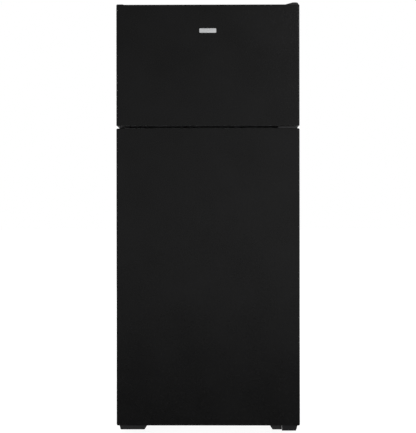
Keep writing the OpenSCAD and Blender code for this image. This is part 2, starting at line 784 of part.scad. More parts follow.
module air_duct() {
    y = [fresh_back - 26, fresh_back - 0.5];
    z = [fresh_floor + upper_shelf_h + 60, fresh_top - 1];
    color(white_plastic) union() {
        difference() {
            span([-duct_half, duct_half], duct_y, [fresh_top - 6, freezer_bottom + 2.5]);
            span([-duct_half + 2, duct_half - 2], [duct_y[0] + 2, duct_y[1] - 2],
                 [fresh_top - 7, freezer_bottom + 5]);
            rod([-duct_half - 1, (duct_y[0] + duct_y[1]) / 2, seam_z], 2 + run, 2 * duct_half + 2, "x");
        }
        difference() {
            span([-75, 75], [duct_y[0], y[1]], [fresh_top - 30, fresh_top - 1]);
            span([-73, 73], [duct_y[0] + 2, y[1] + 1], [fresh_top - 28, fresh_top - 3]);
            span([-duct_half + 2, duct_half - 2], [duct_y[0] + 2, duct_y[1] - 2], [fresh_top - 5, fresh_top]);
            for (i = [-6 : 6]) span([i * 10 - 2.5, i * 10 + 2.5], [duct_y[0] - 1, duct_y[0] + 4],
                                    [fresh_top - 24, fresh_top - 8]);
        }
        difference() {
            span([-75, 75], y, [z[0], fresh_top - 28]);
            span([-73, 73], [y[0] + 2, y[1] + 1], [z[0] + 2, fresh_top - 20]);
            for (row = [0 : 3], s = [-1, 1])
                round_span([s * 38 - 22, s * 38 + 22], [y[0] - 1, y[0] + 4],
                           [z[0] + 30 + row * 52, z[0] + 38 + row * 52], 3.5, "y");
        }
    }
}

module air_damper() {
    y = (duct_y[0] + duct_y[1]) / 2;
    color("#d8d8d4") union() {
        translate([0, y, seam_z]) rotate([45, 0, 0]) translate([-duct_half + 3, -17, -1.2])
            cube([2 * duct_half - 6, 34, 2.4]);
        rod([-duct_half, y, seam_z], 2, 2 * duct_half, "x");
    }
}

// ---------------------------------------------------------------- machine compartment

module compressor() {
    z = deck_z + 14;
    h = 150;
    color("#1e1f21") translate([comp_at[0], comp_at[1], z]) union() {
        rotate_extrude() difference() {
            union() {
                translate([0, 10]) square([comp_r, h - 50]);
                translate([0, h - 40]) difference() {
                    circle(comp_r);
                    translate([-100, -200]) square([200, 200]);
                    translate([-100, 40]) square([200, 60]);
                }
                square([comp_r - 12, 12]);
            }
            translate([-100, -1]) square([100, 2 * h]);
        }
        translate([0, 0, h * 0.42]) cylinder(r = comp_r + 3, h = 5);
        difference() {
            for (s = [-1, 1]) translate([-90, s * 62 - 13, -2]) cube([180, 26, 3]);
            for (p = comp_studs) translate([p[0] - comp_at[0], p[1] - comp_at[1], -5]) cylinder(r = 5, h = 10);
        }
        translate([-30, -comp_r - 16, 40]) cube([60, 26, 50]);
    }
    color("#26282a") for (p = comp_studs) translate([p[0], p[1], deck_z + 0.05]) difference() {
        union() {
            cylinder(r = 10, h = 11.8);
            cylinder(r = 4.9, h = 17);
        }
        translate([0, 0, -1]) cylinder(r = 3, h = 30);
    }
}

// Serpentine tube bank: layers of passes along x with return bends, held by two end plates
module condenser_coil() {
    x = [-300, -20];
    first_y = machine_front + 46;
    pitch = 26;
    layers = [96, 130, 164];
    passes = 5;
    color("#2a2c2e") {
        union() {
            for (z = layers, k = [0 : passes]) rod([x[0], first_y + k * pitch, z], 3, x[1] - x[0], "x");
            for (z = layers, k = [0 : 2 : passes - 1])
                return_bend([x[1] - eps, first_y + (k + 0.5) * pitch, z], pitch / 2, 3, [0, 0, -90]);
            for (z = layers, k = [1 : 2 : passes - 1])
                return_bend([x[0] + eps, first_y + (k + 0.5) * pitch, z], pitch / 2, 3, [0, 0, 90]);
            for (i = [0 : 1])
                return_bend([x[0] + eps, first_y + i * passes * pitch, (layers[i] + layers[i + 1]) / 2],
                            (layers[1] - layers[0]) / 2, 3, [90, -90, 0]);
        }
        for (at = [x[0] + 20, x[1] - 20]) difference() {
            span([at - 1, at + 1], [first_y - 8, first_y + passes * pitch + 8], [deck_z + 2.2, layers[2] + 8]);
            for (z = layers, k = [0 : passes]) rod([at - 2, first_y + k * pitch, z], 3.05, 4, "x");
        }
    }
}

module fan_shroud() {
    color("#3a3c3e") difference() {
        span([shroud_x, shroud_x + 3], [machine_front + 6, panel_front - 6], [deck_z + 0.1, machine_top - 6]);
        rod([shroud_x - 1, cfan_y, cfan_z], cfan_r + 5, 6, "x");
        rod([shroud_x - 1, line_y, line_z], 6, 6, "x");
    }
}

module drain_pan() {
    x0 = rail_w - rail_x + 2;
    x1 = shroud_x - 8;
    color("#303234") difference() {
        round_span([x0, x1], [machine_front + 26, panel_front - 16], [deck_z + 0.1, 78], 12, "z");
        round_span([x0 + 2, x1 - 2], [machine_front + 28, panel_front - 18], [deck_z + 2.1, 79], 10, "z");
    }
}

module rear_cover() {
    color("#2b2b2c") difference() {
        round_span([-half_w + 3, half_w - 3], [panel_front + 0.05, panel_back], rear_cover_z, 4, "y");
        for (row = [0 : 6], i = [0 : 9]) {
            x = -half_w + 60 + i * 62;
            z = rear_cover_z[0] + 46 + row * 24;
            if (abs(x - gland_x) > 44 || z < gland_z - 40 || z > gland_z + 40)
                round_span([x - 22, x + 22], [panel_front - 1, panel_back + 1], [z, z + 8], 3.9, "y");
        }
        rod([gland_x, panel_front - 1, gland_z], 11.2, 10, "y");
        for (p = cover_screws) rod([p[0], panel_front - 1, p[1]], 2.05, 6, "y");
    }
}

gland_x = half_w - 60;
gland_z = machine_top - 60;

module cord_gland() {
    color("#17181a") difference() {
        union() {
            rod([gland_x, panel_front - 12, gland_z], 11, 14, "y");
            rod([gland_x, panel_back + 0.02, gland_z], 14, 3, "y");
        }
        rod([gland_x, panel_front - 13, gland_z], 4.5, 20, "y");
    }
}

line_y = comp_at[1] + 92;
line_z = 222;

// Filter drier and the tubes from the compressor towards the condenser and the evaporator
module refrigerant_lines() {
    y = line_y;
    z = line_z;
    color("#a86a3c") union() {
        rod([-40, y, z], 4, comp_at[0] + 40, "x");
        rod([comp_at[0], y, 120], 4, z - 120, "z");
        translate([comp_at[0], y, z]) sphere(4);
        rod([comp_at[0], comp_at[1] + comp_r + 3.5, 120], 4, 92 - comp_r - 3.5, "y");
        translate([comp_at[0], y, 120]) sphere(4);
        translate([-150, y, z]) rotate([0, 90, 0]) cylinder(r = 12, h = 112);
        translate([-166, y, z]) rotate([0, 90, 0]) cylinder(r = 4, h = 20);
    }
}

// ---------------------------------------------------------------- feet and rollers

module foot(x, y) {
    color("#26282a") difference() {
        union() {
            rod([x, y, 0], 19, 5, "z");
            rod([x, y, 4.9], 12, 5.2, "z");
            rod([x, y, 10], stud_r, 44, "z");
        }
        translate([x - 6, y - 0.8, 52]) cube([12, 1.6, 4]);
    }
}

module left_foot() { foot(-foot_x, left_foot_y); }
module right_foot() { foot(foot_x, right_foot_y); }

module roller(x) {
    color("#34363a") difference() {
        union() {
            rod([x - roller_w / 2, roller_y, roller_r], roller_r - 1.5, roller_w, "x");
            rod([x - roller_w / 2 + 1.5, roller_y, roller_r], roller_r, roller_w - 3, "x");
        }
        for (s = [-1, 1]) translate([x + s * (roller_w / 2), roller_y, roller_r]) rotate([0, 90, 0])
            difference() {
                cylinder(r = roller_r - 6, h = 5, center = true);
                cylinder(r = 8, h = 6, center = true);
            }
        rod([x - roller_w, roller_y, roller_r], axle_r + run, 2 * roller_w, "x");
    }
}

module left_roller() { roller(-roller_x); }
module right_roller() { roller(roller_x); }

// ---------------------------------------------------------------- doors

// Plan view of a door, inset from its outer faces, with round front edges
module door_outline(inset, y1) {
    r = door_edge_r - inset;
    x = half_w - inset;
    y = door_front + inset;
    translate([-x, y + r]) square([2 * x, y1 - y - r]);
    translate([-x + r, y]) square([2 * x - 2 * r, y1 - y]);
    for (s = [-1, 1]) translate([s * (x - r), y + r]) circle(r);
}

module door_solid(inset, y1, z) {
    translate([0, 0, z[0]]) linear_extrude(z[1] - z[0]) door_outline(inset, y1);
}

// What a corner radius takes away from a door, seen from the front
module corner_cuts(z, r, corners) {
    for (c = corners) {
        x = c[0] * (half_w - r);
        zc = c[1] > 0 ? z[1] - r : z[0] + r;
        translate([x, door_back + 1, zc]) rotate([90, 0, 0]) linear_extrude(door_t + 2) difference() {
            translate([c[0] > 0 ? 0 : -r - 1, c[1] > 0 ? 0 : -r - 1]) square(r + 1);
            circle(r);
        }
    }
}

freezer_corners = [[-1, 1], [1, 1], [-1, -1], [1, -1]];
freezer_corner_r = 2.5;

module grip_cut(z, gap) {
    span([-half_w - 1, -half_w + grip_depth + gap], [grip_y[0] - gap, grip_y[1] + gap], [z[0] - gap, z[1] + gap]);
}

module door_skin(z, grip_z, r) {
    color(black_paint) difference() {
        door_solid(0, door_back, z);
        difference() {
            door_solid(sheet, door_back + 1, [z[0] - 1, z[1] + 1]);
            for (s = [-1, 1])
                span(s > 0 ? [half_w - 12, half_w] : [-half_w, -half_w + 12], [door_back - sheet, door_back + 2],
                     [z[0] - 2, z[1] + 2]);
        }
        corner_cuts(z, r, freezer_corners);
        grip_cut(grip_z, 0.1);
    }
}

// Cap that closes one end of a door, with the bore for the hinge pin
module end_cap(z) {
    difference() {
        door_solid(sheet + 0.05, door_back - sheet - 0.1, z);
        translate([axis_x, axis_y, z[0] - 1]) cylinder(r = pin_r + run, h = z[1] - z[0] + 2);
    }
}

// Recessed pocket in the door's free edge, which is its handle
module pocket_grip(z) {
    t = 2;
    difference() {
        span([-half_w + 0.1, -half_w + grip_depth], grip_y, z);
        round_span([-half_w - 1, -half_w + grip_depth - t], [grip_y[0] + t, grip_y[1] - t], [z[0] + t, z[1] - t],
                   8, "x");
    }
}

module door_trim(z, grip_z, r) {
    difference() {
        union() {
            end_cap([z[1] - cap_t, z[1] - 0.2]);
            end_cap([z[0] + 0.2, z[0] + cap_t]);
        }
        corner_cuts(z, r, freezer_corners);
    }
    pocket_grip(grip_z);
}

// The raised ring on a door's inner liner, grown or shrunk by an inset
module dike(z, y, inset) {
    difference() {
        round_span([-dike_half + inset, dike_half - inset], y, [z[0] + inset, z[1] - inset], 16 - inset, "y");
        round_span([-dike_half + dike_w - inset, dike_half - dike_w + inset], [y[0] - 1, y[1] + 1],
                   [z[0] + dike_w - inset, z[1] - dike_w + inset], 8 + inset, "y");
    }
}

module door_foam(z, dike_z, grip_z) {
    color("#e8dca8") difference() {
        union() {
            door_solid(sheet + 0.1, door_back - plastic - 0.05, [z[0] + cap_t + 0.1, z[1] - cap_t - 0.1]);
            dike(dike_z, [door_back - plastic - 1, door_back + dike_depth - plastic - 0.1], plastic + 0.1);
        }
        grip_cut(grip_z, 0.2);
        for (end = [z[0] + cap_t - 1, z[1] - cap_t - 3])
            translate([axis_x, axis_y, end]) cylinder(r = pin_r + 1, h = 4);
    }
}

module door_liner(z, dike_z) {
    color(white_plastic) difference() {
        union() {
            round_span([-half_w + 12.3, half_w - 12.3], [door_back - plastic, door_back],
                       [z[0] + cap_t + 0.3, z[1] - cap_t - 0.3], 3, "y");
            dike(dike_z, [door_back - 1, door_back + dike_depth], 0);
        }
        dike(dike_z, [door_back - plastic - 1, door_back + dike_depth - plastic], plastic);
    }
}

module ring(x, y, z, w, r) {
    difference() {
        round_span([-x, x], y, z, r, "y");
        round_span([-x + w, x - w], [y[0] - 1, y[1] + 1], [z[0] + w, z[1] - w], r / 2, "y");
    }
}

module door_gasket(z) {
    x = half_w - gasket_inset;
    color("#151516") union() {
        ring(x, [door_back + 0.05, door_back + 4], z, gasket_w - 4, 8);
        ring(x - 2, [door_back + 3.5, cab_front - 0.3], [z[0] + 2, z[1] - 2], gasket_w - 9, 8);
    }
}

// Storage bin on a door, with a raised rim along its inner edge
module door_bin(x, z, reach) {
    difference() {
        tub(x, [door_back + 1, door_back + reach], z, plastic, 6);
        span([x[0] + 20, x[1] - 20], [door_back, door_back + 5], [z[0] + 30, z[1] + 1]);
    }
}

module freezer_door_skin() { door_skin(freezer_z, freezer_grip_z, freezer_corner_r); }
module fresh_door_skin() { door_skin(fresh_z, fresh_grip_z, door_corner_r); }

module freezer_door_trim() {
    color(black_plastic) {
        door_trim(freezer_z, freezer_grip_z, freezer_corner_r);
        round_span([-half_w + 1, -half_w + 28], [door_front + 5, door_front + 33],
                   [freezer_z[1] + 0.05, freezer_z[1] + 3.6], 5, "z");
    }
}

module fresh_door_trim() { color(black_plastic) door_trim(fresh_z, fresh_grip_z, door_corner_r); }
module freezer_door_foam() { door_foam(freezer_z, freezer_dike_z, freezer_grip_z); }
module fresh_door_foam() { door_foam(fresh_z, fresh_dike_z, fresh_grip_z); }
module freezer_door_liner() { door_liner(freezer_z, freezer_dike_z); }
module fresh_door_liner() { door_liner(fresh_z, fresh_dike_z); }
module freezer_door_gasket() { door_gasket(freezer_gasket_z); }
module fresh_door_gasket() { door_gasket(fresh_gasket_z); }

module freezer_door_bins() {
    color(white_plastic) for (h = [34, 200])
        door_bin([-bin_half, bin_half], [freezer_dike_z[0] + h, freezer_dike_z[0] + h + 72], freezer_bin_depth);
}

module nameplate() {
    z = freezer_z[1] - 101;
    w = nameplate_w / 2;
    h = nameplate_h / 2;
    color("silver") difference() {
        round_span([-w, w], [door_front - plate_proud, door_front - 0.05], [z - h, z + h], 3, "y");
        round_span([-w + 1.5, w - 1.5], [door_front - plate_proud - 1, door_front - plate_proud + 0.6],
                   [z - h + 1.5, z + h - 1.5], 2, "y");
    }
}

module fresh_door_bins() {
    low = fresh_dike_z[0];
    color(clear_plastic) {
        door_bin([-bin_half, bin_half], [low + 32, low + 140], fresh_bin_depth);
        door_bin([-bin_half, bin_half], [low + 330, low + 430], fresh_bin_depth);
        door_bin([-bin_half, bin_half], [low + 620, low + 710], fresh_bin_depth);
        difference() {
            round_span(dairy_x, [door_back + 1, door_back + dairy_depth], dairy_z, 4, "x");
            span([dairy_x[0] + plastic, dairy_x[1] - plastic], [door_back + 1 + plastic, door_back + dairy_depth + 1],
                 [dairy_z[0] + plastic, dairy_z[1] - plastic]);
        }
        for (x = [dairy_x[0], dairy_x[1] - 4]) difference() {
            round_span([x, x + 4], [flap_y - 14, flap_y + 6], [dairy_z[1] - 6, flap_z + 6], 3, "x");
            rod([x - 1, flap_y, flap_z], flap_pin_r + run, 6, "x");
        }
    }
}

module dairy_flap() {
    x = [dairy_x[0] + 4.5, dairy_x[1] - 4.5];
    color([0.8, 0.87, 0.9, 0.6]) union() {
        span(x, [flap_y - 1.5, flap_y + 1.5], [dairy_z[0] + 2, flap_z]);
        rod([dairy_x[0] + 0.3, flap_y, flap_z], flap_pin_r, dairy_x[1] - dairy_x[0] - 0.6, "x");
        round_span(x, [flap_y - 1.5, flap_y + 9], [dairy_z[0] + 2, dairy_z[0] + 8], 2, "x");
    }
}

// ---------------------------------------------------------------- output

outer_shell();
rear_panel();
base_pan();
cabinet_foam();
freezer_liner();
fresh_food_liner();
mullion_bar();
base_grille();
top_hinge();
top_hinge_cover();
middle_hinge();
bottom_hinge();
pins();
screws();
freezer_shelf();
evaporator_cover();
evaporator_coil();
fan_motors();
defrost_heater();
drain_trough();
shelf_frames();
shelf_glass();
control_housing();
light_shield();
lamp();
light_switch();
air_duct();
compressor();
condenser_coil();
fan_shroud();
drain_pan();
rear_cover();
refrigerant_lines();
cord_gland();
evaporator_fan();
condenser_fan();
left_crisper();
right_crisper();
temperature_knob();
freezer_knob();
air_damper();
switch_plunger();
left_foot();
right_foot();
left_roller();
right_roller();
freezer_door_skin();
freezer_door_trim();
freezer_door_foam();
freezer_door_liner();
freezer_door_gasket();
freezer_door_bins();
nameplate();
fresh_door_skin();
fresh_door_trim();
fresh_door_foam();
fresh_door_liner();
fresh_door_gasket();
fresh_door_bins();
dairy_flap();
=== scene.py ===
import json
import math

import bmesh
import bpy
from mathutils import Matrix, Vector


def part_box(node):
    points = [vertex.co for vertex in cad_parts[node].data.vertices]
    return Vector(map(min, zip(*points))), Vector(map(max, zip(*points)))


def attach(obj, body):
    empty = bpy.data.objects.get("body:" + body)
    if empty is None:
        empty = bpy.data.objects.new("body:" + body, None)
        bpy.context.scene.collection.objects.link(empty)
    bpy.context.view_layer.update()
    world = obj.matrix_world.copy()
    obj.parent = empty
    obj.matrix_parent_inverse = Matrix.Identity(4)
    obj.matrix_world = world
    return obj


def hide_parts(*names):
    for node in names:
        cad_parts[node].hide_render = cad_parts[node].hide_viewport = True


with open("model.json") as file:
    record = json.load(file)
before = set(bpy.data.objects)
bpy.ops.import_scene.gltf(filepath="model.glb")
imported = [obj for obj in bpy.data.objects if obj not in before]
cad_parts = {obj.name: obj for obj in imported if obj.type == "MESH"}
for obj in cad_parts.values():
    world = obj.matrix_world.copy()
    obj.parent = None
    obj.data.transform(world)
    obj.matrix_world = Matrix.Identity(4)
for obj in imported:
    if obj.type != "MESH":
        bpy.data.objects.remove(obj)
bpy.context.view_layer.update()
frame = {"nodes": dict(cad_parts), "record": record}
NODES = frame["nodes"]
MM = 0.001


# ---------------------------------------------------------------- materials

class Look:
    """One procedural material: a Principled shader with its nodes added by short calls."""

    def __init__(self, name, color, rough, metal=0.0, spec=0.5):
        self.mat = bpy.data.materials.new(name)
        self.mat.use_nodes = True
        self.tree = self.mat.node_tree
        self.shader = self.tree.nodes["Principled BSDF"]
        self.set("Base Color", (*color, 1))
        self.set("Roughness", rough)
        self.set("Metallic", metal)
        self.set("Specular IOR Level", spec)
        self.coords = self.tree.nodes.new("ShaderNodeTexCoord").outputs["Object"]
        self.height = None

    def set(self, socket, value):
        self.shader.inputs[socket].default_value = value

    def node(self, kind, **values):
        """A new node; each value goes to the input of that name, or else to the property."""
        made = self.tree.nodes.new(kind)
        for key, value in values.items():
            if key in made.inputs:
                made.inputs[key].default_value = value
            else:
                setattr(made, key, value)
        return made

    def link(self, output, socket):
        self.tree.links.new(output, socket)

    def stretched(self, scale):
        mapping = self.node("ShaderNodeMapping")
        mapping.inputs["Scale"].default_value = scale
        self.link(self.coords, mapping.inputs["Vector"])
        return mapping.outputs["Vector"]

    def noise(self, scale, detail=3.0, stretch=(1, 1, 1)):
        made = self.node("ShaderNodeTexNoise", Scale=scale, Detail=detail)
        self.link(self.stretched(stretch), made.inputs["Vector"])
        return made.outputs["Fac"]

    def cells(self, scale, smooth=0.6):
        made = self.node("ShaderNodeTexVoronoi", feature="SMOOTH_F1", Scale=scale, Smoothness=smooth)
        self.link(self.stretched((1, 1, 1)), made.inputs["Vector"])
        return made.outputs["Distance"]

    def between(self, factor, low, high, start=0.0, end=1.0, curve="LINEAR"):
        """Low where the factor is at start, high where it is at end."""
        made = self.node("ShaderNodeMapRange", interpolation_type=curve)
        for socket, value in (("From Min", start), ("From Max", end), ("To Min", low), ("To Max", high)):
            made.inputs[socket].default_value = value
        self.link(factor, made.inputs["Value"])
        return made.outputs["Result"]

    def compute(self, operation, *operands):
        """Result of a Math node; each operand is an output of a node or a number."""
        made = self.node("ShaderNodeMath", operation=operation)
        for socket, operand in zip(made.inputs, operands):
            if isinstance(operand, float):
                socket.default_value = operand
            else:
                self.link(operand, socket)
        return made.outputs["Value"]

    def bump(self, factor, strength, distance):
        """Adds a layer of relief to the ones made before it; the distance is in metres."""
        made = self.node("ShaderNodeBump", Strength=strength, Distance=distance)
        self.link(factor, made.inputs["Height"])
        if self.height:
            self.link(self.height, made.inputs["Normal"])
        self.height = made.outputs["Normal"]
        self.link(self.height, self.shader.inputs["Normal"])

    def vary_color(self, factor, low, high):
        made = self.node("ShaderNodeValToRGB")
        stops = made.color_ramp.elements
        for stop, position, color in ((stops[0], 0.3, low), (stops[1], 0.7, high)):
            stop.position = position
            stop.color = (*color, 1)
        self.link(factor, made.inputs["Fac"])
        self.link(made.outputs["Color"], self.shader.inputs["Base Color"])

    def vary_rough(self, factor, low, high):
        self.link(self.between(factor, low, high), self.shader.inputs["Roughness"])


def shade(color, factor):
    return tuple(min(1.0, channel * factor) for channel in color)


def textured_paint(name, color, rough, pebble, spec=0.1):
    """Stipple-textured appliance enamel: fine pebbles on sheet that is very slightly wavy."""
    look = Look(name, color, rough, spec=spec)
    look.vary_color(look.noise(7, detail=5), shade(color, 0.8), shade(color, 1.25))
    look.vary_rough(look.noise(60, detail=4), rough - 0.06, rough + 0.08)
    look.bump(look.noise(3.2, detail=1), strength=0.25, distance=0.003)
    look.bump(look.cells(pebble), strength=0.35, distance=0.0007)
    look.bump(look.noise(pebble * 2.6, detail=2), strength=0.15, distance=0.0003)
    return look.mat


def moulded(name, color, rough, spec=0.4, grain=900.0):
    """Injection-moulded plastic: fine spark-eroded grain and faint flow clouds."""
    look = Look(name, color, rough, spec=spec)
    look.vary_color(look.noise(9, detail=4), shade(color, 0.94), shade(color, 1.04))
    look.vary_rough(look.noise(35, detail=5), rough - 0.05, rough + 0.07)
    look.bump(look.noise(grain, detail=2), strength=0.12, distance=0.0002)
    return look.mat


def clear(name, color, rough, transmission, ior=1.49):
    """Clear moulded plastic or glass with faint flow lines."""
    look = Look(name, color, rough)
    look.set("Transmission Weight", transmission)
    look.set("IOR", ior)
    look.vary_rough(look.noise(40), rough, rough + 0.05)
    look.bump(look.noise(18, detail=2, stretch=(1, 1, 0.3)), strength=0.05, distance=0.0004)
    return look.mat


def sheet_metal(name, color, rough, stretch, spangle=0.0):
    """Plated or brushed metal: streaks along one axis, and spangles where galvanised."""
    look = Look(name, color, rough, metal=1.0)
    streaks = look.noise(120, detail=4, stretch=stretch)
    look.vary_color(streaks, shade(color, 0.82), shade(color, 1.1))
    look.vary_rough(streaks, rough - 0.06, rough + 0.12)
    look.bump(streaks, strength=0.12, distance=0.0002)
    if spangle:
        look.bump(look.cells(spangle, smooth=0.1), strength=0.08, distance=0.0003)
    return look.mat


def foam_look(name, color):
    """Poured polyurethane foam with small open cells."""
    look = Look(name, color, rough=0.9, spec=0.2)
    look.vary_color(look.noise(30, detail=6), shade(color, 0.8), shade(color, 1.1))
    look.bump(look.cells(220), strength=0.5, distance=0.001)
    return look.mat


def rubber_look(name, color):
    """Soft vinyl or rubber, a little dusty in places."""
    look = Look(name, color, rough=0.62, spec=0.3)
    look.vary_color(look.noise(25, detail=4), shade(color, 0.7), shade(color, 1.5))
    look.vary_rough(look.noise(80), 0.55, 0.72)
    look.bump(look.noise(500, detail=2), strength=0.15, distance=0.0003)
    return look.mat


def glowing(name, color, strength):
    """Opal glass lit from inside."""
    look = Look(name, color, rough=0.35)
    look.set("Emission Color", (*color, 1))
    look.set("Emission Strength", strength)
    look.vary_rough(look.noise(50, detail=2), 0.3, 0.45)
    return look.mat


# One look for each material slot of the record
LOOKS = {
    "black_paint": textured_paint("black_textured_enamel", (0.0034, 0.0034, 0.0035), 0.25,
                                  pebble=420, spec=0.13),
    "black_plastic": moulded("black_moulding", (0.010, 0.010, 0.0105), 0.5, spec=0.3),
    "zinc_steel": sheet_metal("galvanised_steel", (0.52, 0.53, 0.54), 0.38, stretch=(1, 1, 0.1), spangle=60),
    "dark_metal": textured_paint("black_baked_enamel", (0.012, 0.012, 0.013), 0.4, pebble=700),
    "nameplate_metal": sheet_metal("brushed_nameplate", (0.66, 0.67, 0.68), 0.3, stretch=(0.06, 1, 1)),
    "white_plastic": moulded("white_liner", (0.78, 0.79, 0.79), 0.36),
    "white_wire": moulded("white_coated_wire", (0.8, 0.8, 0.8), 0.3, spec=0.5, grain=400),
    "clear_plastic": clear("clear_moulding", (0.86, 0.92, 0.95), 0.08, transmission=0.85),
    "shelf_glass": clear("tempered_glass", (0.8, 0.93, 0.89), 0.03, transmission=0.95, ior=1.5),
    "lamp_glass": glowing("opal_lamp", (1.0, 0.95, 0.85), strength=2.5),
    "foam": foam_look("insulation_foam", (0.72, 0.6, 0.3)),
    "gasket_rubber": rubber_look("gasket_vinyl", (0.014, 0.014, 0.0145)),
    "coil_aluminium": sheet_metal("coil_aluminium", (0.74, 0.75, 0.76), 0.35, stretch=(1, 1, 0.2)),
    "copper": sheet_metal("copper_tube", (0.7, 0.33, 0.18), 0.32, stretch=(1, 1, 1)),
    "motor_metal": textured_paint("motor_grey", (0.16, 0.165, 0.17), 0.45, pebble=600),
    "heater_sheath": sheet_metal("heater_sheath", (0.5, 0.42, 0.32), 0.45, stretch=(0.2, 1, 1)),
    "dark_rubber": rubber_look("foot_rubber", (0.03, 0.03, 0.032)),
}

# Nodes whose finish differs a little from the rest of their slot; some of them are lighter than their real
# colour as painted light
OWN_LOOKS = {
    # Painted highlight: the hinge's enamel is lighter than its real black, standing in for the light that
    # its face catches
    "middle_hinge": textured_paint("hinge_enamel_lightened_as_painted_highlight", (0.017, 0.017, 0.018), 0.4, pebble=600, spec=0.25),
    # Painted light: the mullion and both doors' end caps are lighter than their real colour, to brighten the
    # shaded seam between the doors
    "mullion_bar": textured_paint("mullion_enamel_lightened_as_painted_light", (0.16, 0.16, 0.163), 0.45, pebble=420, spec=0.2),
    "freezer_door_trim": moulded("freezer_trim_lightened_as_painted_light", (0.07, 0.07, 0.072), 0.5, spec=0.3),
    "fresh_door_trim": moulded("fresh_end_cap_lightened_as_painted_light", (0.07, 0.07, 0.072), 0.5, spec=0.3),
    "condenser_fan": moulded("fan_moulding", (0.05, 0.05, 0.052), 0.45),
}


def dress_cad_nodes():
    """Gives every CAD node the look of its slot, or its own."""
    slots = {entry["node"]: entry["material_slot"] for entry in frame["record"]["subparts"]}
    for name, obj in NODES.items():
        obj.data.materials.clear()
        obj.data.materials.append(OWN_LOOKS.get(name, LOOKS[slots[name]]))


dress_cad_nodes()


# ---------------------------------------------------------------- mesh helpers

def solid_boxes(node):
    """The lowest and highest corners of each separate solid in a CAD node."""
    steps_per_metre = 20000
    mesh = NODES[node].data
    places = {}
    leader = []
    for vertex in mesh.vertices:
        key = tuple(round(value * steps_per_metre) for value in vertex.co)
        places.setdefault(key, len(places))
        leader.append(places[key])
    parent = list(range(len(places)))

    def find(item):
        while parent[item] != item:
            parent[item] = parent[parent[item]]
            item = parent[item]
        return item

    for edge in mesh.edges:
        parent[find(leader[edge.vertices[0]])] = find(leader[edge.vertices[1]])
    groups = {}
    for vertex in mesh.vertices:
        groups.setdefault(find(leader[vertex.index]), []).append(vertex.co)
    boxes = []
    for points in groups.values():
        low = Vector([min(point[axis] for point in points) for axis in range(3)])
        high = Vector([max(point[axis] for point in points) for axis in range(3)])
        boxes.append((low, high))
    return sorted(boxes, key=lambda pair: (round(pair[0].z, 4), round(pair[0].x, 4)))


def add_piece(name, verts, faces, body, slot):
    """A new mesh piece that rides on a body and has a slot with its look."""
    crease = math.radians(35)
    mesh = bpy.data.meshes.new(name)
    mesh.from_pydata([tuple(point) for point in verts], [], faces)
    tidy = bmesh.new()
    tidy.from_mesh(mesh)
    bmesh.ops.remove_doubles(tidy, verts=tidy.verts, dist=0.005 * MM)
    bmesh.ops.recalc_face_normals(tidy, faces=tidy.faces)
    tidy.to_mesh(mesh)
    tidy.free()
    piece = bpy.data.objects.new(name, mesh)
    bpy.context.scene.collection.objects.link(piece)
    mesh.materials.append(LOOKS[slot])
    mesh.shade_smooth()
    mesh.set_sharp_from_angle(angle=crease)
    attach(piece, body)
    return piece


def skin_rings(rings, closed):
    """Faces between equal rings of points; a closed path joins the last ring to the first."""
    count = len(rings[0])
    faces = []
    for index in range(len(rings) if closed else len(rings) - 1):
        near = index * count
        far = (index + 1) % len(rings) * count
        for step in range(count):
            after = (step + 1) % count
            faces.append((near + step, near + after, far + after, far + step))
    if not closed:
        faces.append(tuple(reversed(range(count))))
        faces.append(tuple((len(rings) - 1) * count + step for step in range(count)))
    return faces


def tube_mesh(path, radius, closed=False):
    """Round bead along a level path, as (verts, faces)."""
    sides = 10
    up = Vector((0, 0, 1))
    rings = []
    count = len(path)
    for index, point in enumerate(path):
        before = path[(index - 1) % count] if closed or index else point
        after = path[(index + 1) % count] if closed or index < count - 1 else point
        along = (after - before).normalized()
        side = along.cross(up).normalized()
        rings.append([
            point + radius * (math.cos(turn) * side + math.sin(turn) * up)
            for turn in (math.tau * step / sides for step in range(sides))
        ])
    return [point for ring in rings for point in ring], skin_rings(rings, closed)


def merge(parts):
    """Joins (verts, faces) pairs into one pair."""
    verts, faces = [], []
    for part_verts, part_faces in parts:
        start = len(verts)
        verts += part_verts
        faces += [tuple(start + index for index in face) for face in part_faces]
    return verts, faces


def arc(center, radius, start, steps, z):
    """Points of a level quarter circle that begins at an angle in degrees."""
    turns = [math.radians(start + 90 * step / steps) for step in range(steps + 1)]
    return [
        Vector((center[0] + radius * math.cos(turn), center[1] + radius * math.sin(turn), z))
        for turn in turns
    ]


def pillow(low, high, round_by, steps=2):
    """Box with all its edges rounded, as (verts, faces)."""
    block = bmesh.new()
    bmesh.ops.create_cube(block, size=1)
    for vertex in block.verts:
        vertex.co = Vector([(low[axis] + high[axis]) / 2 + vertex.co[axis] * (high[axis] - low[axis])
                            for axis in range(3)])
    bmesh.ops.bevel(block, geom=block.edges[:], offset=round_by, segments=steps, profile=0.5,
                    affect="EDGES")
    block.verts.index_update()
    verts = [vertex.co.copy() for vertex in block.verts]
    faces = [tuple(vertex.index for vertex in face.verts) for face in block.faces]
    block.free()
    return verts, faces


def turned(profile, center):
    """Solid of revolution from (radius, height) points along +Y, as (verts, faces)."""
    sides = 32
    turns = [math.tau * step / sides for step in range(sides)]
    rings = [
        [center + Vector((radius * math.sin(turn), height, radius * math.cos(turn))) for turn in turns]
        for radius, height in profile
    ]
    return [point for ring in rings for point in ring], skin_rings(rings, False)


# ---------------------------------------------------------------- door gaskets

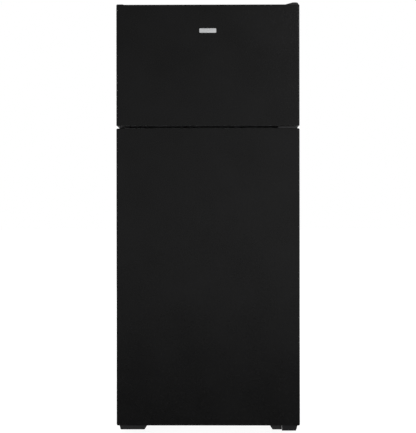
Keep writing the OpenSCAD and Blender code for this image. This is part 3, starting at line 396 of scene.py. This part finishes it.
def gasket(node, body):
    """Magnetic gasket: dart flange, two-fold bellows and magnet head, mitred at its corners."""
    low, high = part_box(node)
    depth = high.y - low.y
    width = 16 * MM
    # Across from the outer edge, and out from the door, as shares of the width and the depth
    flange = [(0.0, 0.0), (1.0, 0.0), (1.0, 0.1), (0.86, 0.15)]
    inner_folds = [(0.74, 0.17), (0.80, 0.27), (0.72, 0.38), (0.80, 0.49)]
    magnet_head = [(0.80, 0.92), (0.75, 0.99), (0.2, 0.99), (0.14, 0.92)]
    outer_folds = [(0.14, 0.49), (0.24, 0.38), (0.14, 0.27), (0.24, 0.17), (0.12, 0.15), (0.0, 0.1)]
    section = flange + inner_folds + magnet_head + outer_folds
    rings = []
    for side_x, side_z in ((-1, -1), (1, -1), (1, 1), (-1, 1)):
        corner_x = low.x if side_x < 0 else high.x
        corner_z = low.z if side_z < 0 else high.z
        rings.append([
            Vector((corner_x - side_x * across * width,
                    low.y + out * depth,
                    corner_z - side_z * across * width))
            for across, out in section
        ])
    verts = [point for ring in rings for point in ring]
    piece = add_piece(node + "_profile", verts, skin_rings(rings, True), body, "gasket_rubber")
    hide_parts(node)


gasket("freezer_door_gasket", "freezer_door")
gasket("fresh_door_gasket", "fresh_food_door")


# ---------------------------------------------------------------- rims of bins and crispers

# From a tub's outer face to the middle of its wall, where its bead runs
HALF_WALL = 1.25 * MM


def bin_rims(node, body, slot):
    """Bead along the sides and the inner edge of each bin on a door, open at the door."""
    narrowest_tub = 0.4
    behind_liner = 12 * MM
    corner = 5 * MM
    bead = 2.2 * MM
    tubs = [pair for pair in solid_boxes(node) if pair[1].x - pair[0].x > narrowest_tub]
    for number, (low, high) in enumerate(tubs, 1):
        x0, x1 = low.x + HALF_WALL, high.x - HALF_WALL
        y0, y1 = low.y + behind_liner, high.y - HALF_WALL - corner
        path = ([Vector((x1, y0, high.z))]
                + arc((x1 - corner, y1), corner, 0, 6, high.z)
                + arc((x0 + corner, y1), corner, 90, 6, high.z)
                + [Vector((x0, y0, high.z))])
        verts, faces = tube_mesh(path, bead)
        add_piece(f"{body}_bin_rim_{number}", verts, faces, body, slot)


def crisper_rim(body):
    """Bead round the open top of a crisper, behind the pull on its front."""
    pull_depth = 12 * MM
    corner = 9 * MM
    bead = 1.6 * MM
    inset = HALF_WALL + corner
    low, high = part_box(body)
    x0, x1 = low.x + inset, high.x - inset
    y0, y1 = low.y + pull_depth + inset, high.y - inset
    corners = (((x0, y0), 180), ((x1, y0), 270), ((x1, y1), 0), ((x0, y1), 90))
    path = [point for center, start in corners for point in arc(center, corner, start, 5, high.z)]
    verts, faces = tube_mesh(path, bead, closed=True)
    add_piece(body + "_rim", verts, faces, body, "clear_plastic")


bin_rims("freezer_door_bins", "freezer_door", "white_plastic")
bin_rims("fresh_door_bins", "fresh_food_door", "clear_plastic")
crisper_rim("left_crisper")
crisper_rim("right_crisper")


# ---------------------------------------------------------------- dials on the control housing

def dial_marks(knob):
    """Raised ticks round a knob, longest at the coldest setting."""
    marks = 7
    first_turn, sweep = 225, 270
    shortest, growth = 2.0 * MM, 0.45 * MM
    half_width = 0.7 * MM
    proud, sunk = 0.4 * MM, 0.35 * MM
    face_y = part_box("control_housing")[0].y
    low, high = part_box(knob)
    center = (low + high) / 2
    clearance = 2.2 * MM
    reach = (high.x - low.x) / 2 + clearance
    parts = []
    for mark in range(marks):
        turn = math.radians(first_turn - sweep * mark / (marks - 1))
        half_length = (shortest + growth * mark) / 2
        verts, faces = pillow((-half_width, -proud, -half_length), (half_width, sunk, half_length),
                              round_by=0.25 * MM)
        placed = []
        for point in verts:
            along = reach + half_length + point.z
            placed.append(Vector((
                center.x + along * math.cos(turn) + point.x * math.sin(turn),
                face_y + point.y,
                center.z + along * math.sin(turn) - point.x * math.cos(turn))))
        parts.append((placed, faces))
    verts, faces = merge(parts)
    add_piece(knob + "_marks", verts, faces, "cabinet", "black_plastic")


dial_marks("temperature_knob")
dial_marks("freezer_knob")


# ---------------------------------------------------------------- back of the cabinet

def foam_plugs():
    """Domed caps in the holes that the foam was poured through."""
    rib_proud = 3.5 * MM
    # Radius and height above the sheet, from the middle of the dome to its edge
    dome = [(0.2, 2.4), (8, 2.3), (12.5, 1.7), (15, 0.6), (15.4, -0.3)]
    profile = [(radius * MM, height * MM) for radius, height in dome]
    low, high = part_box("rear_panel")
    size = high - low
    parts = []
    for share_z in (0.12, 0.88):
        for share_x in (0.32, 0.68):
            center = Vector((low.x + share_x * size.x, high.y - rib_proud, low.z + share_z * size.z))
            parts.append(turned(profile, center))
    verts, faces = merge(parts)
    add_piece("foam_plugs", verts, faces, "cabinet", "black_plastic")


foam_plugs()


# ---------------------------------------------------------------- edging strips

def grille_edging():
    """Vinyl strips that close the slot in the base grille on both sides of the hinge bracket."""
    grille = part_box("base_grille")[0]
    low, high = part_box("bottom_hinge")
    gap = 1.5 * MM
    # The hinge's upper plate reaches this much further right than its bracket
    overhang = 4 * MM
    slack = 0.1 * MM
    y = (grille.y + 0.2 * MM, grille.y + 2.4 * MM)
    bottom = grille.z + 0.6 * MM
    parts = [
        pillow((side_x - slack, y[0], bottom), (side_x + gap - slack, y[1], high.z), round_by=0.3 * MM)
        for side_x in (low.x - gap, high.x - overhang)
    ]
    verts, faces = merge(parts)
    add_piece("grille_edging", verts, faces, "cabinet", "black_plastic")


def shelf_trims():
    """Bullnose strips on the front edges of the glass shelves' frames."""
    thickest_frame = 20 * MM
    inset = 5 * MM
    proud = 3 * MM
    shelves = [pair for pair in solid_boxes("shelf_frames") if pair[1].z - pair[0].z < thickest_frame]
    for number, (low, high) in enumerate(shelves, 1):
        verts, faces = pillow((low.x + inset, low.y - proud, low.z - 2 * MM),
                              (high.x - inset, low.y + proud, high.z + 1 * MM), round_by=2.6 * MM, steps=4)
        add_piece(f"shelf_trim_{number}", verts, faces, "cabinet", "white_plastic")


grille_edging()
shelf_trims()


# ---------------------------------------------------------------- stage, light and camera

# Brightness of the room by height, from straight down (0) to straight up (1)
ROOM_STOPS = ((0.14, 0.6), (0.27, 0.02), (0.36, 0.02), (0.405, 1.2), (0.60, 0.95), (0.8, 0.3))


def floor_glow_and_painted_shadow(look, open_level, painted_shadow_level, fade):
    """Glow of the floor: bright in the open, with a painted shadow that is dark well inside the footprint of
    the cabinet.
    """
    low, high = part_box("base_pan")
    split = look.node("ShaderNodeSeparateXYZ")
    look.link(look.coords, split.inputs["Vector"])
    past_edges = []
    for axis, place in enumerate((split.outputs["X"], split.outputs["Y"])):
        off_middle = look.compute("ABSOLUTE", look.compute("SUBTRACT", place, (low[axis] + high[axis]) / 2))
        past_edges.append(look.compute("SUBTRACT", off_middle, (high[axis] - low[axis]) / 2))
    nearest = look.compute("MAXIMUM", *past_edges)
    return look.between(nearest, painted_shadow_level, open_level, *fade, curve="SMOOTHSTEP")


def stage():
    """Plain pale floor, which gives off the light that a white sweep would throw back, with a painted
    contact shadow under the cabinet.
    """
    half = 30.0
    corners = [(-half, -half, 0), (half, -half, 0), (half, half, 0), (-half, half, 0)]
    mesh = bpy.data.meshes.new("floor")
    mesh.from_pydata(corners, [], [(0, 1, 2, 3)])
    floor = bpy.data.objects.new("floor", mesh)
    bpy.context.scene.collection.objects.link(floor)
    look = Look("pale_floor_with_painted_shadow", (0.4, 0.4, 0.4), rough=0.9, spec=0.0)
    look.set("Emission Color", (1, 1, 1, 1))
    # The painted shadow fades in between two distances past the edge of the cabinet's base, negative inside
    # it
    emission_with_painted_shadow = floor_glow_and_painted_shadow(look, open_level=0.9, painted_shadow_level=0.02, fade=(-0.13, -0.07))
    look.link(emission_with_painted_shadow, look.shader.inputs["Emission Strength"])
    mesh.materials.append(look.mat)
    floor.visible_glossy = False


def area_light(name, at, aim, size, power):
    data = bpy.data.lights.new(name, "AREA")
    data.shape = "RECTANGLE"
    data.size, data.size_y = size
    data.energy = power
    light = bpy.data.objects.new(name, data)
    light.location = at
    light.rotation_euler = (Vector(aim) - Vector(at)).to_track_quat("-Z", "Y").to_euler()
    bpy.context.scene.collection.objects.link(light)


def set_range(node, from_range, to_range=(0.0, 1.0)):
    for name, limits in (("From", from_range), ("To", to_range)):
        node.inputs[name + " Min"].default_value = limits[0]
        node.inputs[name + " Max"].default_value = limits[1]


def light_room(tree, room):
    """Room that varies by height as ROOM_STOPS says, and is brighter on the right."""
    direction = tree.nodes.new("ShaderNodeTexCoord").outputs["Generated"]
    split = tree.nodes.new("ShaderNodeSeparateXYZ")
    tree.links.new(direction, split.inputs["Vector"])
    # Strength from left to right, over the directions that the doors mirror to the camera
    across = tree.nodes.new("ShaderNodeMapRange")
    set_range(across, (-0.3, 0.3), (0.7, 1.28))
    tree.links.new(split.outputs["X"], across.inputs["Value"])
    tree.links.new(across.outputs["Result"], room.inputs["Strength"])
    height = tree.nodes.new("ShaderNodeMapRange")
    set_range(height, (-1.0, 1.0))
    tree.links.new(split.outputs["Z"], height.inputs["Value"])
    ramp = tree.nodes.new("ShaderNodeValToRGB")
    tree.links.new(height.outputs["Result"], ramp.inputs["Fac"])
    for position, level in ROOM_STOPS:
        stop = ramp.color_ramp.elements.new(position)
        stop.color = (level, level, level, 1)
    # The two stops that every new ramp has are spare
    for spare in (0, -1):
        ramp.color_ramp.elements.remove(ramp.color_ramp.elements[spare])
    tree.links.new(ramp.outputs["Color"], room.inputs["Color"])


def lighting():
    """White backdrop for the camera, a grey room for everything else, and soft boxes."""
    world = bpy.data.worlds.new("studio")
    bpy.context.scene.world = world
    world.use_nodes = True
    tree = world.node_tree
    room = tree.nodes["Background"]
    light_room(tree, room)
    backdrop = tree.nodes.new("ShaderNodeBackground")
    backdrop.inputs["Color"].default_value = (1, 1, 1, 1)
    seen = tree.nodes.new("ShaderNodeLightPath").outputs["Is Camera Ray"]
    mix = tree.nodes.new("ShaderNodeMixShader")
    for output, socket in zip((seen, room.outputs[0], backdrop.outputs[0]), mix.inputs):
        tree.links.new(output, socket)
    tree.links.new(mix.outputs[0], tree.nodes["World Output"].inputs["Surface"])
    area_light("key", at=(2.5, -3.4, 3.4), aim=(0, 0, 1.1), size=(2.2, 1.6), power=57)
    area_light("fill", at=(-2.8, -2.4, 2.6), aim=(0, 0, 1.0), size=(1.8, 1.8), power=7)
    area_light("back", at=(-1.2, 3.4, 2.8), aim=(0, 0, 0.9), size=(2.4, 1.6), power=60)


def camera():
    """Straight on, at the doors' mid-height and a little right of their middle."""
    lower_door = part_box("fresh_door_skin")[0]
    upper_low, upper_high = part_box("freezer_door_skin")
    distance = 2.2
    width_at_doors = 1.610
    right_of_middle = 0.036
    roll, turn = math.radians(0.065), math.radians(0.23)
    data = bpy.data.cameras.new("camera")
    data.sensor_fit = "HORIZONTAL"
    data.sensor_width = 36.0
    data.lens = data.sensor_width * distance / width_at_doors
    data.shift_x = -0.0169
    data.shift_y = -0.0035
    cam = bpy.data.objects.new("camera", data)
    cam.location = (right_of_middle, upper_low.y - distance, (lower_door.z + upper_high.z) / 2)
    cam.rotation_euler = (math.radians(90), roll, turn)
    bpy.context.scene.collection.objects.link(cam)
    bpy.context.scene.camera = cam


stage()
lighting()
camera()
bpy.context.scene.view_settings.view_transform = "Standard"
